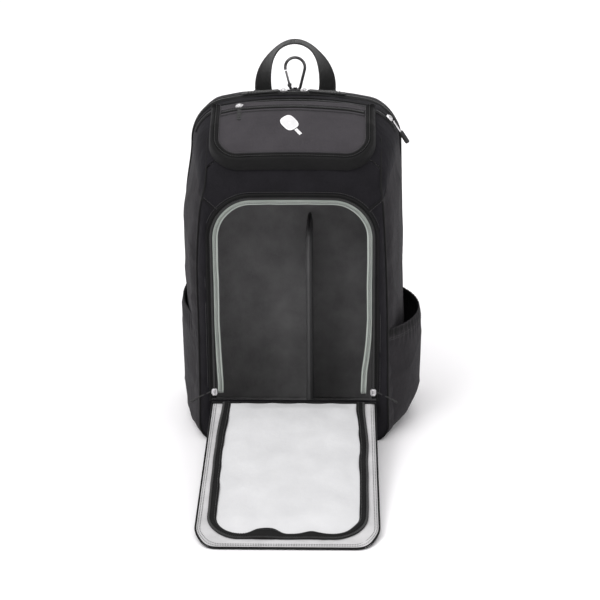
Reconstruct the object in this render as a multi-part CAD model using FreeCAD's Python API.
"""Racket backpack, standing on its base with the front door folded down in front of it.

Frame: origin at the middle of the flat base, +Z up, -Y towards the front door, +X to the
right of someone facing the front. Millimetres. The padded harness is on the +Y side.
"""
import FreeCAD, Part
import math
import os

from FreeCAD import Vector

# ---------------------------------------------------------------- driving dimensions
HEIGHT = 500.0            # top of the body above the floor
FRONT_Y = -100.0          # plane of the front face
BACK_Y = 100.0            # plane of the back panel
WALL = 3.0                # fabric and foam of the body walls
BACK_WALL = 6.0           # stiffened back
CROWN_R = 560.0           # radius of the arched top, seen from the front
BASE_R = 25.0             # corners beside the floor
BASE_TRIM = 0.4           # shaved off below, so that the base is one flat face

# Profile of the body from front to back: y, height of the top, half width low, half width high,
# radius of the upper corners.
PROFILE = [
    (FRONT_Y, 412.0, 138.0, 127.0, 40.0),
    (-93.0, 436.0, 143.0, 131.0, 44.0),
    (-75.0, 459.0, 149.0, 138.0, 50.0),
    (-40.0, 482.0, 157.0, 147.0, 56.0),
    (0.0, 496.0, 162.0, 153.0, 60.0),
    (25.0, HEIGHT, 163.0, 155.0, 60.0),
    (60.0, 496.0, 163.0, 155.0, 60.0),
    (BACK_Y, 476.0, 159.0, 151.0, 60.0),
]

HINGE_Z = 66.0            # the door's fold line
HINGE_Y = FRONT_Y - 4.6
OPEN_LOW = 69.0           # lower edge of the door opening
OPEN_HALF = 119.0         # half width of the hole in the front panel
OPEN_TOP = 379.0
OPEN_R = 60.0
TRACK_WIDE = 3.4          # zip coil around the opening
TRACK_PROUD = 1.2
BINDING_WIDE = 7.4        # grey tape inside the coil

DOOR_HALF_LOW = 121.0     # the door's flap, which covers the zip, beside the fold
DOOR_HALF_HIGH = 126.0    # and at its free end
DOOR_TOP = 408.0
DOOR_LOW = 70.5
DOOR_CUT_X = 20.0         # cut-off upper corners of the flap
DOOR_CUT_Z = 41.0
DOOR_GAP = 4.8            # room for the sliders between the closed flap and the front face
DOOR_SHELL = 3.0
DOOR_FACING = 1.2
SEAM_HALF = 104.0         # line where the door's zip tape is sewn
SEAM_TOP = 365.0
SEAM_R = 48.0
BAND_HIGH = 9.0           # free width of that tape
BAND_THICK = 1.2

RUN_GAP = 0.35            # running clearance of the zip sliders
HEM_LEFT_Z = 190.0        # upper edges of the side pockets
HEM_RIGHT_Z = 174.0
HEM_HIGH = 12.0
POCKET_FLOOR = 6.0
POCKET_CLOTH = 1.6
BULGE_X = 188.0           # how far the bottle pocket stands out
FLAT_X = 172.0            # how far the flat side pocket stands out

WEBBING = 26.0            # grab handle
WEBBING_THICK = 2.4
HANDLE_BASE = 477.0
HANDLE_TOP = 566.0
HANDLE_Y = 95.0

UPPER_LOW = 396.0         # lowest edge of the top panel, across the front
UPPER_SIDE = 432.0        # its edge on the sides
UPPER_INNER_X = 100.0     # where that edge starts to rise
UPPER_OUTER_X = 118.0     # and where it is level again
SEAM_START = (60.0, 300.0)      # slanting seams beside the opening: x and z of three points,
SEAM_CORNER = (101.0, 362.0)    # the middle one at the opening's corner
SEAM_END = (143.0, 425.0)

PARTITION_Y = 42.0        # wall between the front and the rear compartment
PARTITION_THICK = 3.0
DIVIDER_X = 22.0          # padded upright wall inside the front compartment
DIVIDER_THICK = 6.0
DIVIDER_TOP = 318.0
DIVIDER_FRONT_Y = -74.0
DIVIDER_R = 40.0          # its front upper corner

MAIN_ZIP_Y = 25.0
MAIN_TAPE = 22.0
MAIN_ZIP_LOW = 330.0      # ends of the main zip on both sides
ORGANISER_ZIP_Y = -2.0
ORGANISER_TAPE = 16.0
ORGANISER_ZIP_LOW = 452.0
TAPE_PROUD = 0.8
COIL_WIDE = 3.2
COIL_HIGH = 2.0

POCKET_SHIFT = Vector(0, -13.0, 5.0)    # how far the top pocket's face stands off the body
POCKET_TILT = 37.0        # slope of the pocket face above the horizontal
POCKET_HALF = 121.0
POCKET_RIM = 13.0
POCKET_CORNER = 46.0
POCKET_FOOT_Y = -103.0    # a point of the pocket's lower edge
POCKET_FOOT_Z = 425.0
POCKET_LENGTH = 112.0
POCKET_ZIP_Y = -27.0
POCKET_ZIP_HALF = 104.0
POCKET_COIL_PROUD = 1.4

SIDE_FRONT = (137.0, -92.0)    # ends of a side pocket's plan, x and y
SIDE_BACK = (161.0, 88.0)
SIDE_MIDDLE_Y = -6.0
SIDE_INSIDE = 100.0       # a plane inside the body that closes the plan

SLIDER_LONG = 11.0
SLIDER_WIDE = 8.4
SLIDER_HIGH = 2.2
MAIN_SLIDER_X = 15.0
TAB_START = 7.6           # from a main slider's middle to its tab
TAB_LONG = 54.0
TAB_WIDE = 10.0
TAB_THICK = 1.6
TAB_TILT = math.radians(2.6)
POCKET_SLIDER_X = -76.0
PULL_SLOPE = math.radians(21.0)
PULL_LONG = 26.0
PULL_WIDE = 6.0
PULL_THICK = 2.0
SHOULDER_TURN = math.radians(47.0)
SHOULDER_HANG = math.radians(57.0)
LINK_LONG = 22.0
LINK_WIDE = 5.0
LINK_THICK = 1.4
GRIP_R = 3.6
GRIP_LONG = 20.0
DOOR_SLIDER_Z = 79.0
CORD_HANG = math.radians(30.0)
CORD_LONG = 34.0
CORD_WIDE = 4.0
CORD_THICK = 2.0

HANDLE_FOOT_X = 60.8      # middle of the handle's feet
HANDLE_WAIST_X = 43.0     # where its legs have leaned in
HANDLE_BEND_Z = HANDLE_BASE + 24.0
HANDLE_WAIST_Z = HANDLE_BASE + 56.0
HANDLE_CORNER_Z = HANDLE_TOP + 12.5    # the corner that its top arc is rounded from
HANDLE_RADII = [30.0, 60.0, 36.0, 60.0, 30.0]
HANDLE_START = HANDLE_BASE + 8.0
PATCH_LOW = HANDLE_BASE - 12.0
PATCH_TOP = HANDLE_BASE + 7.2

LOOP_Y = 86.0
LOOP_Z = 486.6            # axis of the carabiner's lower bend
LOOP_WIDE = 6.0
LOOP_THICK = 1.3
LOOP_PLAY = 1.4           # room between the carabiner's wire and the loop
LOOP_FOOT = 478.0
WIRE_R = 2.2
CARABINER_WIDE_R = 14.6   # upper bend, on the wire's middle
CARABINER_NARROW_R = 8.0
CARABINER_LONG = 27.0     # between the centres of the two bends
CARABINER_LEAN = 5.0      # degrees, back against its loop
GATE_R = 1.7
PIN_R = 1.0
EYE_R = 3.2               # round end that holds the gate's pin
FORK_INSIDE = 1.5         # from the wire's middle to the fork's cheek
FORK_THICK = 0.9
FORK_HALF = 1.9

STRAP_THICK = 10.0
STRAP_WIDE = 62.0
STRAP_END_Z = 168.0
STRAP_SIDE = [(9.3, 452.0), (17.0, 440.0), (38.0, 350.0), (36.0, 250.0), (19.0, STRAP_END_Z)]
STRAP_FRONT = [(44.0, 470.0), (46.0, 410.0), (84.0, 320.0), (90.0, 230.0), (96.0, 150.0)]
YOKE_LOW, YOKE_TOP, YOKE_HALF_LOW, YOKE_HALF_TOP, YOKE_THICK = 434.0, 466.0, 92.0, 78.0, 4.0
WEB_X = 95.0              # middle of the webbing below each strap
WEB_WIDE = 20.0
WEB_THICK = 1.6
WEB_LINE = [(12.9, 166.0), (12.9, 110.0), (2.2, 62.0)]    # distance behind the back panel, and z
WEB_BEND = 80.0
ADJUSTER_HALF, ADJUSTER_LOW, ADJUSTER_TOP = 16.0, 140.0, 167.0
ADJUSTER_NEAR, ADJUSTER_FAR = 14.2, 18.2    # its faces' distances behind the back panel
SLOT_HALF, SLOT_HIGH = 11.5, 3.4
SLOT_LEVELS = (145.0, 155.5)
WING = [(80, 64), (112, 66), (146, 42), (146, 16)]        # corner tab that holds the webbing
WING_THICK = 1.3
PAD_INNER_X, PAD_OUTER_X, PAD_LOW, PAD_TOP, PAD_THICK = 15, 128, 158, 426, 8.0
LUMBAR_HALF, LUMBAR_LOW, LUMBAR_TOP, LUMBAR_THICK = 72, 60, 148, 9.0
PAD_CORNER = 24

DOOR_IN_Y = FRONT_Y - DOOR_GAP
FACING_Y = DOOR_IN_Y - DOOR_FACING
DOOR_OUT_Y = FACING_Y - DOOR_SHELL
END_REACH = math.hypot(DOOR_TOP - HINGE_Z, HINGE_Y - DOOR_OUT_Y)
END_LEAN = math.atan2(DOOR_OUT_Y - HINGE_Y, DOOR_TOP - HINGE_Z)
OPEN_ANGLE = math.degrees(END_LEAN + math.acos(-HINGE_Z / END_REACH))   # the free end on the floor

OUT = "parts"
BIG = 900.0
os.makedirs(OUT, exist_ok=True)
made = {}


def keep(name, shape):
    """Stores a node and writes it as parts/NAME.step."""
    solids = shape.Solids
    if not solids:
        raise RuntimeError(name + " has no solid")
    shape = solids[0] if len(solids) == 1 else Part.makeCompound(solids)
    if not shape.isValid():
        print("not valid:", name)
    made[name] = shape
    shape.exportStep(os.path.join(OUT, name + ".step"))
    return shape


def box(x0, x1, y0, y1, z0, z1):
    return Part.makeBox(x1 - x0, y1 - y0, z1 - z0, Vector(x0, y0, z0))


def line(a, b):
    return Part.LineSegment(Vector(*a), Vector(*b)).toShape()


def arc(a, b, c):
    return Part.Arc(Vector(*a), Vector(*b), Vector(*c)).toShape()


def mirror_x(shape):
    return shape.mirror(Vector(0, 0, 0), Vector(1, 0, 0))


def prism_y(points, y0, y1):
    """Straight-sided outline in X and Z, extruded from y0 to y1."""
    wire = Part.makePolygon([Vector(x, y0, z) for x, z in points + points[:1]])
    return Part.Face(wire).extrude(Vector(0, y1 - y0, 0))


# ---------------------------------------------------------------- body shell
def section(y, top, half_low, half_high, radius, out):
    """Arched cross-section in the plane y, grown outward by out."""
    big = CROWN_R + out
    small = radius + out
    low_r = BASE_R + out
    wide = half_high + out
    base = half_low + out
    apex = top + out
    floor = -out - BASE_TRIM
    lean = math.asin((wide - small) / (big - small))
    cz = apex - big
    corner = ((big - small) * math.sin(lean), cz + (big - small) * math.cos(lean))
    join = (big * math.sin(lean), cz + big * math.cos(lean))
    half_turn = (math.pi / 2 + lean) / 2
    mid = (corner[0] + small * math.sin(half_turn), corner[1] + small * math.cos(half_turn))
    diag = low_r * math.sqrt(0.5)
    right_low = (base - low_r + diag, floor + low_r - diag)

    def p(x, z):
        return (x, y, z)

    edges = [
        line(p(-base + low_r, floor), p(base - low_r, floor)),
        arc(p(base - low_r, floor), p(*right_low), p(base, floor + low_r)),
        line(p(base, floor + low_r), p(wide, corner[1])),
        arc(p(wide, corner[1]), p(*mid), p(*join)),
        arc(p(*join), p(0, apex), p(-join[0], join[1])),
        arc(p(-join[0], join[1]), p(-mid[0], mid[1]), p(-wide, corner[1])),
        line(p(-wide, corner[1]), p(-base, floor + low_r)),
        arc(p(-base, floor + low_r), p(-right_low[0], right_low[1]), p(-base + low_r, floor)),
    ]
    return Part.Wire(edges)


def profile_at(y):
    """The profile's values at any y, by straight lines between its rows."""
    for a, b in zip(PROFILE, PROFILE[1:]):
        if a[0] <= y <= b[0]:
            t = (y - a[0]) / (b[0] - a[0])
            return tuple(u + t * (v - u) for u, v in zip(a, b))
    return PROFILE[0] if y < FRONT_Y else PROFILE[-1]


def body_loft(out, y_first=None, y_last=None):
    """The body as one solid, grown by out along its profile's normals."""
    rows = []
    for i, (y, top, low, high, radius) in enumerate(PROFILE):
        before = PROFILE[max(i - 1, 0)]
        after = PROFILE[min(i + 1, len(PROFILE) - 1)]
        dy, dz = after[0] - before[0], after[1] - before[1]
        size = math.hypot(dy, dz)
        rows.append((y - out * dz / size, top + out * dy / size - out, low, high, radius))
    if y_first is not None:
        rows[0] = (y_first,) + rows[0][1:]
    if y_last is not None:
        rows[-1] = (y_last,) + rows[-1][1:]
    return Part.makeLoft([section(*row, out) for row in rows], True, True)


OUTER = body_loft(0.0, FRONT_Y, BACK_Y).common(box(-BIG, BIG, -BIG, BIG, 0, BIG))
INNER = body_loft(-WALL, FRONT_Y + WALL, BACK_Y - BACK_WALL)
SHELL = OUTER.cut(INNER)


def opening_outline(grow, low=OPEN_LOW - 30.0):
    """Door opening in the front plane, grown on three sides; it runs on below its lower edge."""
    half, top, radius = OPEN_HALF + grow, OPEN_TOP + grow, OPEN_R + grow
    d = radius * math.sqrt(0.5)
    cx, cz = half - radius, top - radius
    return [
        line((-half, 0, low), (-half, 0, cz)),
        arc((-half, 0, cz), (-cx - d, 0, cz + d), (-cx, 0, top)),
        line((-cx, 0, top), (cx, 0, top)),
        arc((cx, 0, top), (cx + d, 0, cz + d), (half, 0, cz)),
        line((half, 0, cz), (half, 0, low)),
        line((half, 0, low), (-half, 0, low)),
    ]


def opening_prism(grow, y0, y1, low=OPEN_LOW):
    face = Part.Face(Part.Wire(opening_outline(grow, low)))
    face.translate(Vector(0, y0, 0))
    return face.extrude(Vector(0, y1 - y0, 0))


def build_walls():
    front_zone = box(-BIG, BIG, -BIG, FRONT_Y + WALL, -BIG, BIG)
    back_zone = box(-BIG, BIG, BACK_Y - BACK_WALL, BIG, -BIG, BIG)
    floor_zone = box(-BIG, BIG, FRONT_Y + WALL, BACK_Y - BACK_WALL, -BIG, WALL - BASE_TRIM)
    right_edge = [(UPPER_INNER_X, UPPER_LOW), (UPPER_OUTER_X, UPPER_SIDE), (BIG, UPPER_SIDE), (BIG, BIG)]
    upper_split = [(-x, z) for x, z in reversed(right_edge)] + right_edge
    top_zone = prism_y(upper_split, FRONT_Y + WALL, BACK_Y - BACK_WALL)
    keep("back_panel", SHELL.common(back_zone))
    keep("bottom_panel", SHELL.common(floor_zone))
    top = SHELL.common(top_zone)
    ridge_y = PROFILE[5][0]
    keep("top_rear_gusset", top.common(box(-BIG, BIG, ridge_y, BIG, -BIG, BIG)))
    keep("top_front_panel", top.common(box(-BIG, BIG, -BIG, ridge_y, -BIG, BIG)))
    ring = SHELL.cut(front_zone).cut(back_zone).cut(floor_zone).cut(top_zone)
    keep("side_panel_left", ring.common(box(-BIG, 0, -BIG, BIG, -BIG, BIG)))
    keep("side_panel_right", ring.common(box(0, BIG, -BIG, BIG, -BIG, BIG)))

    face = SHELL.common(front_zone).cut(opening_prism(0.0, FRONT_Y - 10, FRONT_Y + 10))
    right_seam = [SEAM_START, SEAM_CORNER, SEAM_END, (SEAM_END[0], HEIGHT + 20)]
    seam = right_seam + [(-x, z) for x, z in reversed(right_seam)]
    upper_zone = prism_y(seam, FRONT_Y - 10, FRONT_Y + WALL + 1)
    keep("front_upper_panel", face.common(upper_zone))
    rest = face.cut(upper_zone)
    keep("front_lower_panel", rest.common(box(-BIG, BIG, -BIG, BIG, -BIG, OPEN_LOW)))
    rest = rest.common(box(-BIG, BIG, -BIG, BIG, OPEN_LOW, BIG))
    keep("front_left_panel", rest.common(box(-BIG, 0, -BIG, BIG, -BIG, BIG)))
    keep("front_right_panel", rest.common(box(0, BIG, -BIG, BIG, -BIG, BIG)))


def build_opening_trim():
    coil = opening_prism(0.0, FRONT_Y - TRACK_PROUD, FRONT_Y + 2.0)
    coil = coil.cut(opening_prism(-TRACK_WIDE, FRONT_Y - 2, FRONT_Y + 3, OPEN_LOW - 5))
    keep("door_zip_track", coil)
    tape = opening_prism(-TRACK_WIDE, FRONT_Y + 1.0, FRONT_Y + WALL)
    tape = tape.cut(opening_prism(-TRACK_WIDE - BINDING_WIDE, FRONT_Y, FRONT_Y + 9, OPEN_LOW - 5))
    keep("opening_binding", tape)


# ---------------------------------------------------------------- inside
def build_inside():
    wall = INNER.common(box(-BIG, BIG, PARTITION_Y, PARTITION_Y + PARTITION_THICK, -BIG, BIG))
    keep("compartment_partition", wall)
    high, deep, r = DIVIDER_TOP, DIVIDER_FRONT_Y, DIVIDER_R
    x0 = DIVIDER_X - DIVIDER_THICK / 2
    d = r * math.sqrt(0.5)
    edges = [
        line((x0, PARTITION_Y, WALL), (x0, deep, WALL)),
        line((x0, deep, WALL), (x0, deep, high - r)),
        arc((x0, deep, high - r), (x0, deep + r - d, high - r + d), (x0, deep + r, high)),
        line((x0, deep + r, high), (x0, PARTITION_Y, high)),
        line((x0, PARTITION_Y, high), (x0, PARTITION_Y, WALL)),
    ]
    keep("padded_divider", Part.Face(Part.Wire(edges)).extrude(Vector(DIVIDER_THICK, 0, 0)))


# ---------------------------------------------------------------- zips over the top
def zip_band(y, wide, low_z):
    """Tape and coil that follow the arch at y, down to low_z on both sides."""
    near = box(-BIG, BIG, y - 60, y + 60, low_z, BIG)
    body = OUTER.common(near)
    tape = body_loft(TAPE_PROUD).common(box(-BIG, BIG, y - wide / 2, y + wide / 2, low_z, BIG))
    coil = body_loft(COIL_HIGH).common(box(-BIG, BIG, y - COIL_WIDE / 2, y + COIL_WIDE / 2, low_z, BIG))
    return tape.fuse(coil).cut(body)


def build_top_zips():
    keep("main_zip", zip_band(MAIN_ZIP_Y, MAIN_TAPE, MAIN_ZIP_LOW))
    keep("organiser_zip", zip_band(ORGANISER_ZIP_Y, ORGANISER_TAPE, ORGANISER_ZIP_LOW))


# ---------------------------------------------------------------- raised pocket on the upper front
def pocket_prism(inset):
    """Rounded outline drawn on the slope, extruded along the slope's normal."""
    half, r = POCKET_HALF - inset, POCKET_CORNER - inset * 0.7
    low, high = inset, POCKET_LENGTH
    d = r * math.sqrt(0.5)
    edges = [
        line((-half, high, 0), (-half, low + r, 0)),
        arc((-half, low + r, 0), (-half + r - d, low + r - d, 0), (-half + r, low, 0)),
        line((-half + r, low, 0), (half - r, low, 0)),
        arc((half - r, low, 0), (half - r + d, low + r - d, 0), (half, low + r, 0)),
        line((half, low + r, 0), (half, high, 0)),
        line((half, high, 0), (-half, high, 0)),
    ]
    solid = Part.Face(Part.Wire(edges)).extrude(Vector(0, 0, 80))
    solid.translate(Vector(0, 0, -40))
    solid.rotate(Vector(0, 0, 0), Vector(1, 0, 0), POCKET_TILT)
    solid.translate(Vector(0, POCKET_FOOT_Y, POCKET_FOOT_Z))
    return solid


def build_top_pocket():
    raised = OUTER.copy()
    raised.translate(POCKET_SHIFT)
    proud = raised.cut(OUTER)
    whole = proud.common(pocket_prism(0.0))
    whole = whole.common(box(-BIG, BIG, -BIG, ORGANISER_ZIP_Y - ORGANISER_TAPE / 2 - 0.4, -BIG, BIG))
    inner = pocket_prism(POCKET_RIM)
    keep("top_pocket_welt", whole.cut(inner))
    keep("top_pocket", whole.common(inner))


def build_pocket_zip():
    y, half = POCKET_ZIP_Y, COIL_WIDE / 2
    tall = body_loft(POCKET_COIL_PROUD)
    tall.translate(POCKET_SHIFT)
    raised = OUTER.copy()
    raised.translate(POCKET_SHIFT)
    coil = tall.common(box(-POCKET_ZIP_HALF, POCKET_ZIP_HALF, y - half, y + half, POCKET_FOOT_Z, BIG)).cut(raised)
    keep("top_pocket_zip", coil)


# ---------------------------------------------------------------- door
def swing_open(shape):
    """Turns a closed door piece about the fold until its free end lies on the floor."""
    shape.rotate(Vector(0, HINGE_Y, HINGE_Z), Vector(1, 0, 0), OPEN_ANGLE)
    return shape


def flap(y0, y1, inset=0.0):
    low, high, top = DOOR_HALF_LOW - inset, DOOR_HALF_HIGH - inset, DOOR_TOP - inset
    outline = [
        (-low, DOOR_LOW), (low, DOOR_LOW), (high, top - DOOR_CUT_Z), (high - DOOR_CUT_X, top),
        (-high + DOOR_CUT_X, top), (-high, top - DOOR_CUT_Z),
    ]
    return prism_y(outline, y0, y1)


def seam_prism(inset, y0, y1, low):
    half, top, r = SEAM_HALF - inset, SEAM_TOP - inset, SEAM_R - inset
    d = r * math.sqrt(0.5)
    cx, cz = half - r, top - r
    edges = [
        line((-half, y0, low), (-half, y0, cz)),
        arc((-half, y0, cz), (-cx - d, y0, cz + d), (-cx, y0, top)),
        line((-cx, y0, top), (cx, y0, top)),
        arc((cx, y0, top), (cx + d, y0, cz + d), (half, y0, cz)),
        line((half, y0, cz), (half, y0, low)),
        line((half, y0, low), (-half, y0, low)),
    ]
    return Part.Face(Part.Wire(edges)).extrude(Vector(0, y1 - y0, 0))


def build_door():
    low = DOOR_LOW + 4.0
    keep("door_panel", swing_open(flap(DOOR_OUT_Y, FACING_Y)))
    facing = flap(FACING_Y, DOOR_IN_Y, 1.0).cut(seam_prism(0.0, FACING_Y - 1, DOOR_IN_Y + 1, DOOR_LOW - 1))
    keep("door_facing", swing_open(facing))
    lining_in = DOOR_IN_Y + 2.6
    keep("door_lining", swing_open(seam_prism(BAND_THICK, FACING_Y, lining_in, low)))
    band = seam_prism(0.0, FACING_Y, FACING_Y + BAND_HIGH, low)
    band = band.cut(seam_prism(BAND_THICK, FACING_Y - 1, FACING_Y + BAND_HIGH + 1, low - 9))
    keep("door_zip_tape", swing_open(band))


# ---------------------------------------------------------------- paths and webbing
def rounded_path(points, radii):
    """Straight runs joined by tangent arcs; one radius for each inner point."""
    edges = []
    here = Vector(*points[0])
    for i, radius in enumerate(radii, start=1):
        corner = Vector(*points[i])
        back = (Vector(*points[i - 1]) - corner).normalize()
        ahead = (Vector(*points[i + 1]) - corner).normalize()
        half = back.getAngle(ahead) / 2
        reach = radius / math.tan(half)
        start = corner + back * reach
        end = corner + ahead * reach
        mid = corner + (back + ahead).normalize() * (radius / math.sin(half) - radius)
        edges.append(Part.LineSegment(here, start).toShape())
        edges.append(Part.Arc(start, mid, end).toShape())
        here = end
    edges.append(Part.LineSegment(here, Vector(*points[-1])).toShape())
    return Part.Wire(edges)


def webbing(points, radii, wide, thick, across):
    """Flat band along a plane path; its width runs along across."""
    start = Vector(*points[0])
    ahead = (Vector(*points[1]) - start).normalize()
    side = Vector(*across)
    up = ahead.cross(side)
    signs = ((1, 1), (-1, 1), (-1, -1), (1, -1), (1, 1))
    ring = Part.makePolygon([start + side * (i * wide / 2) + up * (j * thick / 2) for i, j in signs])
    return rounded_path(points, radii).makePipeShell([ring], True, False)


# ---------------------------------------------------------------- side pockets
def pocket_plan(reach, z0, z1):
    """Plan outline on the right: an arc that stands out to reach, closed inside the body."""
    front, back, inside = SIDE_FRONT, SIDE_BACK, SIDE_INSIDE
    edges = [
        arc((front[0], front[1], z0), (reach, SIDE_MIDDLE_Y, z0), (back[0], back[1], z0)),
        line((back[0], back[1], z0), (inside, back[1], z0)),
        line((inside, back[1], z0), (inside, front[1], z0)),
        line((inside, front[1], z0), (front[0], front[1], z0)),
    ]
    return Part.Face(Part.Wire(edges)).extrude(Vector(0, 0, z1 - z0))


def build_side_pocket(side, reach, hem_z):
    whole = pocket_plan(reach, POCKET_FLOOR, hem_z)
    room = pocket_plan(reach - POCKET_CLOTH, POCKET_FLOOR + POCKET_CLOTH, hem_z + 1)
    cloth = whole.cut(room)
    hem_zone = box(-BIG, BIG, -BIG, BIG, hem_z - HEM_HIGH, BIG)
    lower = cloth.cut(hem_zone).cut(OUTER)
    hem = cloth.common(hem_zone).cut(OUTER)
    if side == "left":
        lower, hem = mirror_x(lower), mirror_x(hem)
    keep("side_pocket_" + side, lower)
    keep("side_pocket_hem_" + side, hem)


# ---------------------------------------------------------------- sliders and pulls
def slider_at(place, along, out):
    """Slider body with a lug; place is the middle of its underside, along runs with the zip."""
    x = Vector(*along).normalize()
    z = Vector(*out).normalize()
    y = z.cross(x)
    half, wide, nose = SLIDER_LONG / 2, SLIDER_WIDE / 2, SLIDER_WIDE / 3.4
    flat = [(-half, -nose), (-half + 3, -wide), (half - 2, -wide), (half, -nose),
            (half, nose), (half - 2, wide), (-half + 3, wide), (-half, nose)]
    base = Vector(*place)
    wire = Part.makePolygon([base + x * a + y * b for a, b in flat + flat[:1]])
    return Part.Face(wire).extrude(z * SLIDER_HIGH)


def tab_at(place, along, out, length, wide, thick):
    """Flat pull tab with a rounded end; place is the middle of its near end's underside."""
    x = Vector(*along).normalize()
    z = Vector(*out).normalize()
    y = z.cross(x)
    base = Vector(*place)
    r = wide / 2
    a, b = base - y * r, base + y * r
    c, e = b + x * (length - r), a + x * (length - r)
    tip = base + x * length
    edges = [
        Part.LineSegment(a, b).toShape(),
        Part.LineSegment(b, c).toShape(),
        Part.Arc(c, tip, e).toShape(),
        Part.LineSegment(e, a).toShape(),
    ]
    return Part.Face(Part.Wire(edges)).extrude(z * thick)


def crown_point(y, x, lift, shift=Vector(0, 0, 0)):
    """Point above the crown at x, with the outward direction and the direction towards +X."""
    top = profile_at(y - shift.y)[1]
    centre = top - CROWN_R
    turn = math.asin(x / CROWN_R)
    out = Vector(math.sin(turn), 0, math.cos(turn))
    place = Vector(0, y, centre + shift.z) + out * (CROWN_R + lift)
    return place, out, Vector(math.cos(turn), 0, -math.sin(turn))


def build_main_sliders():
    for side, sign in (("left", -1), ("right", 1)):
        place, out, along = crown_point(MAIN_ZIP_Y, sign * MAIN_SLIDER_X, COIL_HIGH + RUN_GAP)
        keep("main_slider_" + side, slider_at(place, along, out))
        place, out, along = crown_point(MAIN_ZIP_Y, sign * (MAIN_SLIDER_X + TAB_START), COIL_HIGH + RUN_GAP + 0.9)
        along = along * (sign * math.cos(TAB_TILT)) - out * math.sin(TAB_TILT)
        out = along.cross(Vector(0, sign, 0))
        keep("main_pull_" + side, tab_at(place, along, out, TAB_LONG, TAB_WIDE, TAB_THICK))


def build_pocket_slider():
    lift = 2.4 + RUN_GAP
    place, out, along = crown_point(POCKET_ZIP_Y, POCKET_SLIDER_X, lift, POCKET_SHIFT)
    keep("top_pocket_slider", slider_at(place, along, out))
    down_slope = Vector(0, -math.cos(PULL_SLOPE), -math.sin(PULL_SLOPE))
    start = place - out * SLIDER_HIGH + Vector(0, -SLIDER_WIDE / 2 - PULL_THICK - 0.5, 0)
    up = Vector(0, -math.sin(PULL_SLOPE), math.cos(PULL_SLOPE))
    keep("top_pocket_pull", tab_at(start, down_slope, up, PULL_LONG, PULL_WIDE, PULL_THICK))


def build_shoulder_slider():
    """Slider that stands on the rounded shoulder, at the right end of the front zip."""
    top, _, half_high, radius = profile_at(ORGANISER_ZIP_Y)[1:]
    lean = math.asin((half_high - radius) / (CROWN_R - radius))
    centre_x = half_high - radius
    centre_z = top - CROWN_R + (CROWN_R - radius) * math.cos(lean)
    turn = SHOULDER_TURN
    out = Vector(math.sin(turn), 0, math.cos(turn))
    along = Vector(math.cos(turn), 0, -math.sin(turn))
    centre = Vector(centre_x, ORGANISER_ZIP_Y, centre_z)
    place = centre + out * (radius + COIL_HIGH + RUN_GAP + 0.4)
    keep("shoulder_slider", slider_at(place, along, out))
    hang = Vector(math.cos(SHOULDER_HANG), 0, -math.sin(SHOULDER_HANG))
    away = Vector(math.sin(SHOULDER_HANG), 0, math.cos(SHOULDER_HANG))
    start = place + along * (SLIDER_LONG / 2 + 1.6) + out * 1.4
    link = tab_at(start, hang, away, LINK_LONG, LINK_WIDE, LINK_THICK)
    hole = tab_at(start + hang * 3.0 - away, hang, away, 15.0, 2.4, 4.0)
    grip_start = start + hang * (LINK_LONG - 3.0) + away * (LINK_THICK / 2)
    grip = Part.makeCylinder(GRIP_R, GRIP_LONG, grip_start, hang)
    keep("shoulder_pull", link.cut(hole).cut(grip))
    keep("shoulder_pull_grip", grip)


def build_door_sliders():
    for side, sign in (("left", -1), ("right", 1)):
        x = sign * (OPEN_HALF - TRACK_WIDE / 2)
        y = FRONT_Y - TRACK_PROUD - RUN_GAP
        place = (x, y, DOOR_SLIDER_Z)
        keep("door_slider_" + side, slider_at(place, (0, 0, 1), (0, -1, 0)))
        hang = Vector(sign * math.cos(CORD_HANG), 0, -math.sin(CORD_HANG))
        start = Vector(x + sign * (SLIDER_WIDE / 2 + 1.8), y, DOOR_SLIDER_Z)
        keep("door_pull_" + side, tab_at(start, hang, (0, -1, 0), CORD_LONG, CORD_WIDE, CORD_THICK))


# ---------------------------------------------------------------- handle, loop and carabiner
def build_handle():
    leg = [(HANDLE_FOOT_X, HANDLE_BASE), (HANDLE_FOOT_X, HANDLE_BEND_Z), (HANDLE_WAIST_X, HANDLE_WAIST_Z)]
    outline = [(-x, z) for x, z in leg] + [(0, HANDLE_CORNER_Z)] + list(reversed(leg))
    points = [(x, HANDLE_Y, z) for x, z in outline]
    band = webbing(points, HANDLE_RADII, WEBBING, WEBBING_THICK, (0, 1, 0))
    keep("grab_handle", band.common(box(-BIG, BIG, -BIG, BIG, HANDLE_START, BIG)))
    anchors = []
    for x in (-HANDLE_FOOT_X, HANDLE_FOOT_X):
        patch = box(x - WEBBING / 2, x + WEBBING / 2, HANDLE_Y - 3.5, HANDLE_Y + 1.0, PATCH_LOW, PATCH_TOP)
        anchors.append(patch.cut(OUTER))
    keep("handle_anchor", Part.makeCompound(anchors))


def build_hang_loop():
    inner = WIRE_R + LOOP_PLAY
    outer = inner + LOOP_THICK
    y, z, foot = LOOP_Y, LOOP_Z, LOOP_FOOT
    edges = [
        line((0, y - outer, foot), (0, y - outer, z)),
        arc((0, y - outer, z), (0, y, z + outer), (0, y + outer, z)),
        line((0, y + outer, z), (0, y + outer, foot)),
        line((0, y + outer, foot), (0, y - outer, foot)),
    ]
    whole = Part.Face(Part.Wire(edges)).extrude(Vector(LOOP_WIDE, 0, 0))
    hole_edges = [
        line((-1, y - inner, foot - 1), (-1, y - inner, z)),
        arc((-1, y - inner, z), (-1, y, z + inner), (-1, y + inner, z)),
        line((-1, y + inner, z), (-1, y + inner, foot - 1)),
        line((-1, y + inner, foot - 1), (-1, y - inner, foot - 1)),
    ]
    hole = Part.Face(Part.Wire(hole_edges)).extrude(Vector(LOOP_WIDE + 4, 0, 0))
    loop = whole.cut(hole)
    loop.translate(Vector(-LOOP_WIDE / 2, 0, 0))
    keep("carabiner_loop", loop.cut(OUTER))


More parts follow.
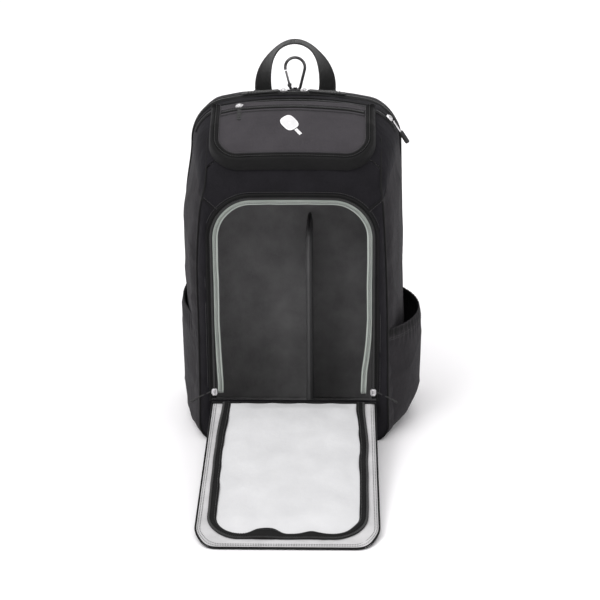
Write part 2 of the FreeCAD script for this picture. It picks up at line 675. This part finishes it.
def build_carabiner():
    a, b, tall = CARABINER_WIDE_R, CARABINER_NARROW_R, CARABINER_LONG
    y, zb = LOOP_Y, LOOP_Z + b
    zt = zb + tall
    s = (a - b) / tall
    c = math.sqrt(1 - s * s)
    top_left, top_right = Vector(-a * c, y, zt - a * s), Vector(a * c, y, zt - a * s)
    low_left, low_right = Vector(-b * c, y, zb - b * s), Vector(b * c, y, zb - b * s)
    run = top_left - low_left
    ahead = Vector(run).normalize()
    side = Vector(0, 1, 0)
    pivot = low_left + run * 0.10
    latch = low_left + run * 0.95
    path = Part.Wire([
        arc(tuple(low_left), (0, y, zb - b), tuple(low_right)),
        Part.LineSegment(low_right, top_right).toShape(),
        arc(tuple(top_right), (0, y, zt + a), tuple(top_left)),
    ])
    ring = Part.Wire(Part.makeCircle(WIRE_R, low_left, ahead * -1))
    body = path.makePipeShell([ring], True, False)
    low = low_left - ahead * 1.5
    for y0 in (FORK_INSIDE, -FORK_INSIDE - FORK_THICK):
        cheek = Part.makeCylinder(EYE_R, FORK_THICK, pivot + side * y0, side)
        strip = Part.makeBox(2 * FORK_HALF, FORK_THICK, pivot.distanceToPoint(low))
        strip.translate(Vector(-FORK_HALF, y0, 0))
        strip.rotate(Vector(0, 0, 0), side, math.degrees(math.atan2(ahead.x, ahead.z)))
        strip.translate(low)
        body = body.fuse(cheek).fuse(strip)
    body = body.cut(Part.makeCylinder(PIN_R, 6, pivot - side * 3, side))
    body = body.cut(Part.makeCylinder(EYE_R + 0.5, 2 * FORK_INSIDE, pivot - side * FORK_INSIDE, side))
    pin_half = FORK_INSIDE + FORK_THICK
    pin = Part.makeCylinder(PIN_R, 2 * pin_half, pivot - side * pin_half, side)
    reach = pivot.distanceToPoint(latch) - 0.4
    neck = EYE_R + 1.0
    gate = Part.makeCylinder(GATE_R, reach, pivot, ahead)
    gate = gate.common(box(-BIG, BIG, y - 1.2, y + 1.2, -BIG, BIG))
    gate = gate.fuse(Part.makeCylinder(GATE_R, reach - neck, pivot + ahead * neck, ahead))
    gate = gate.fuse(Part.makeCylinder(2.4, 2.4, pivot - side * 1.2, side))
    gate = gate.cut(Part.makeCylinder(PIN_R + 0.06, 8, pivot - side * 4, side))
    lean_at = Vector(0, LOOP_Y, LOOP_Z)
    for name, shape in (("carabiner_body", body), ("carabiner_gate", gate), ("carabiner_pin", pin)):
        shape.rotate(lean_at, Vector(-1, 0, 0), CARABINER_LEAN)
        keep(name, shape)


# ---------------------------------------------------------------- harness on the back
def rounded_rect(x0, x1, z0, z1, r, steps=6):
    """Corner points of a rounded rectangle in X and Z."""
    x0, x1 = min(x0, x1), max(x0, x1)
    points = []
    for cx, cz, turn in ((x1 - r, z1 - r, 0), (x0 + r, z1 - r, 90), (x0 + r, z0 + r, 180), (x1 - r, z0 + r, 270)):
        for i in range(steps + 1):
            a = math.radians(turn + 90.0 * i / steps)
            points.append((cx + r * math.cos(a), cz + r * math.sin(a)))
    return points


def build_adjuster(side, x):
    """Ladder buckle with two slots."""
    frame = box(x - ADJUSTER_HALF, x + ADJUSTER_HALF, BACK_Y + ADJUSTER_NEAR, BACK_Y + ADJUSTER_FAR,
                ADJUSTER_LOW, ADJUSTER_TOP)
    for z0 in SLOT_LEVELS:
        frame = frame.cut(box(x - SLOT_HALF, x + SLOT_HALF, BACK_Y, BACK_Y + 2 * ADJUSTER_FAR, z0, z0 + SLOT_HIGH))
    keep("strap_adjuster_" + side, frame)


def build_shoulder_strap(side, sign, side_band):
    """The strap is what a band bent in side view and one bent in front view have in common."""
    front_points = [(sign * x, 0, z) for x, z in STRAP_FRONT]
    front_band = webbing(front_points, [60.0, 90.0, 200.0], 600.0, STRAP_WIDE, (0, 1, 0))
    keep("shoulder_strap_" + side, side_band.common(front_band))


def build_harness():
    yoke = [(-YOKE_HALF_LOW, YOKE_LOW), (YOKE_HALF_LOW, YOKE_LOW), (YOKE_HALF_TOP, YOKE_TOP), (-YOKE_HALF_TOP, YOKE_TOP)]
    keep("strap_yoke", prism_y(yoke, BACK_Y, BACK_Y + YOKE_THICK))
    side_points = [(0, BACK_Y + off, z) for off, z in STRAP_SIDE]
    side_band = webbing(side_points, [22.0, 180.0, 160.0], 700.0, STRAP_THICK, (1, 0, 0))
    for side, sign in (("left", -1), ("right", 1)):
        build_shoulder_strap(side, sign, side_band)
        x = sign * WEB_X
        build_adjuster(side, x)
        web_points = [(x, BACK_Y + off, z) for off, z in WEB_LINE]
        keep("strap_webbing_" + side, webbing(web_points, [WEB_BEND], WEB_WIDE, WEB_THICK, (1, 0, 0)))
        wing = prism_y(WING, BACK_Y, BACK_Y + WING_THICK)
        keep("strap_anchor_" + side, wing if side == "right" else mirror_x(wing))
        corners = rounded_rect(sign * PAD_INNER_X, sign * PAD_OUTER_X, PAD_LOW, PAD_TOP, PAD_CORNER)
        keep("back_pad_" + side, prism_y(corners, BACK_Y, BACK_Y + PAD_THICK))
    corners = rounded_rect(-LUMBAR_HALF, LUMBAR_HALF, LUMBAR_LOW, LUMBAR_TOP, PAD_CORNER)
    keep("lumbar_pad", prism_y(corners, BACK_Y, BACK_Y + LUMBAR_THICK))


build_walls()
build_opening_trim()
build_inside()
build_top_zips()
build_top_pocket()
build_pocket_zip()
build_door()
build_side_pocket("left", FLAT_X, HEM_LEFT_Z)
build_side_pocket("right", BULGE_X, HEM_RIGHT_Z)
build_main_sliders()
build_pocket_slider()
build_shoulder_slider()
build_door_sliders()
build_handle()
build_hang_loop()
build_carabiner()
build_harness()
print(len(made), "nodes, door swings", round(OPEN_ANGLE, 3), "degrees")
